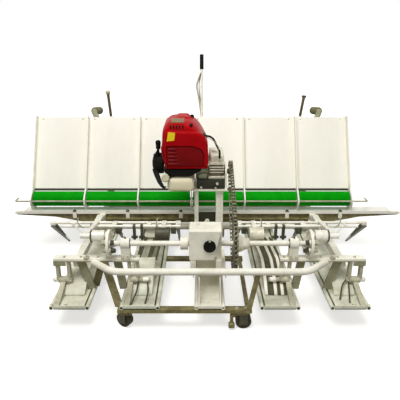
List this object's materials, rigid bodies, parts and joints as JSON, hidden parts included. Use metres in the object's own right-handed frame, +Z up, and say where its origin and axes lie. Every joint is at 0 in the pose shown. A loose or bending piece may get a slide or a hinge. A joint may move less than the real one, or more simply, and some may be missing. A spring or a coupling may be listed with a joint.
{
  "type": "walk behind rice transplanter",
  "caption": "Engine-driven rice planting machine on flat skids: crank-driven planting arms, sloping seedling tray, handles and levers, standing on a low castor frame.",
  "frame": {"origin": "on the floor, at the middle of the whole width and depth", "axes": "+X right seen from the planting side, +Y from the bumper towards the handles, +Z up"},
  "size_m": [1.448, 0.9539, 0.7196],
  "materials": {
    "white_paint": "satin",
    "cream_panel": "satin",
    "olive_paint": "worn satin",
    "machined_steel": "satin",
    "dark_steel": "matt",
    "silver_case": "cast",
    "red_cover": "gloss",
    "black_plastic": "matt",
    "natural_tank": "satin",
    "green_roller": "satin",
    "grey_grip": "matt",
    "castor_rubber": "matt",
    "bright_rod": "polished"
  },
  "bodies": {
    "frame": {"bearings": "white_paint", "bumper": "white_paint", "centre_walls": "white_paint", "chain": "dark_steel", "cross_rails": "white_paint", "engine_block": "black_plastic", "engine_cover": "red_cover", "engine_plate": "white_paint", "front_angles": "white_paint", "fuel_tank": "natural_tank", "gates": "white_paint", "gearbox": "white_paint", "grip_left": "grey_grip", "grip_right": "grey_grip", "guide_beam": "olive_paint", "guide_rail": "white_paint", "handle_bar": "white_paint", "handle_left": "white_paint", "handle_right": "white_paint", "lever_grip": "black_plastic", "levers": "white_paint", "output_bracket": "white_paint", "reducer": "silver_case", "side_rails": "white_paint", "skid_1": "white_paint", "skid_2": "white_paint", "skid_3": "white_paint", "skid_4": "white_paint", "skid_5": "white_paint", "skid_guards": "white_paint", "skid_hinges": "white_paint", "skid_struts": "white_paint", "spine": "white_paint", "stand_beams": "olive_paint", "stand_struts": "olive_paint", "starter": "black_plastic", "throttle_cable": "black_plastic", "tray_support": "white_paint", "uprights": "white_paint"},
    "tray": {"tray_sheet": "cream_panel", "tray_ribs": "cream_panel", "retaining_rod": "bright_rod"},
    "feed_rollers": {"feed_rollers": "green_roller"},
    "crankshaft": {"crankshaft": "white_paint", "crank_sprocket": "dark_steel"},
    "output_sprocket": {"output_sprocket": "dark_steel"},
    "left_planter": {"planting_arms_left": "dark_steel", "planting_bars_left": "machined_steel"},
    "right_planter": {"planting_arms_right": "dark_steel", "planting_bars_right": "machined_steel"},
    "castor_front_left": {"castor_fork_front_left": "dark_steel"},
    "wheel_front_left": {"castor_wheel_front_left": "castor_rubber"},
    "castor_front_right": {"castor_fork_front_right": "dark_steel"},
    "wheel_front_right": {"castor_wheel_front_right": "castor_rubber"},
    "castor_rear_left": {"castor_fork_rear_left": "dark_steel"},
    "wheel_rear_left": {"castor_wheel_rear_left": "castor_rubber"},
    "castor_rear_right": {"castor_fork_rear_right": "dark_steel"},
    "wheel_rear_right": {"castor_wheel_rear_right": "castor_rubber"}
  },
  "joints": [
    {"name": "tray_shuttle", "type": "slide", "parent": "frame", "child": "tray", "axis": [1, 0, 0], "range_m": [-0.02, 0.14]},
    {"name": "rollers_turn", "type": "hinge", "parent": "tray", "child": "feed_rollers", "pos_m": [-0.06, 0.05936, 0.214], "axis": [1, 0, 0], "continuous": true},
    {"name": "crank_turn", "type": "hinge", "parent": "frame", "child": "crankshaft", "pos_m": [0, -0.37564, 0.232], "axis": [1, 0, 0], "continuous": true},
    {"name": "output_turn", "type": "hinge", "parent": "frame", "child": "output_sprocket", "pos_m": [0.072, -0.14164, 0.38207], "axis": [1, 0, 0], "continuous": true},
    {"name": "left_planter_turn", "type": "hinge", "parent": "crankshaft", "child": "left_planter", "pos_m": [-0.324, -0.37564, 0.256], "axis": [1, 0, 0], "continuous": true},
    {"name": "right_planter_turn", "type": "hinge", "parent": "crankshaft", "child": "right_planter", "pos_m": [0.324, -0.37564, 0.256], "axis": [1, 0, 0], "continuous": true},
    {"name": "castor_front_left_swivel", "type": "hinge", "parent": "frame", "child": "castor_front_left", "pos_m": [-0.234, -0.45264, 0.058], "axis": [0, 0, 1], "continuous": true},
    {"name": "wheel_front_left_roll", "type": "hinge", "parent": "castor_front_left", "child": "wheel_front_left", "pos_m": [-0.24786, -0.44464, 0.023], "axis": [-0.5, -0.866, 0], "continuous": true},
    {"name": "castor_front_right_swivel", "type": "hinge", "parent": "frame", "child": "castor_front_right", "pos_m": [0.082, -0.45264, 0.058], "axis": [0, 0, 1], "continuous": true},
    {"name": "wheel_front_right_roll", "type": "hinge", "parent": "castor_front_right", "child": "wheel_front_right", "pos_m": [0.098, -0.45264, 0.023], "axis": [0, 1, 0], "continuous": true},
    {"name": "castor_rear_left_swivel", "type": "hinge", "parent": "frame", "child": "castor_rear_left", "pos_m": [-0.226, 0.13736, 0.058], "axis": [0, 0, 1], "continuous": true},
    {"name": "wheel_rear_left_roll", "type": "hinge", "parent": "castor_rear_left", "child": "wheel_rear_left", "pos_m": [-0.218, 0.15122, 0.023], "axis": [-0.866, 0.5, 0], "continuous": true},
    {"name": "castor_rear_right_swivel", "type": "hinge", "parent": "frame", "child": "castor_rear_right", "pos_m": [0.05, 0.13736, 0.058], "axis": [0, 0, 1], "continuous": true},
    {"name": "wheel_rear_right_roll", "type": "hinge", "parent": "castor_rear_right", "child": "wheel_rear_right", "pos_m": [0.05414, 0.15282, 0.023], "axis": [-0.9659, 0.2588, 0], "continuous": true}
  ],
  "couplings": [
    {"joint": "output_turn", "follows": "crank_turn", "ratio": 3.2727},
    {"joint": "left_planter_turn", "follows": "crank_turn", "ratio": -1},
    {"joint": "right_planter_turn", "follows": "crank_turn", "ratio": -1}
  ]
}
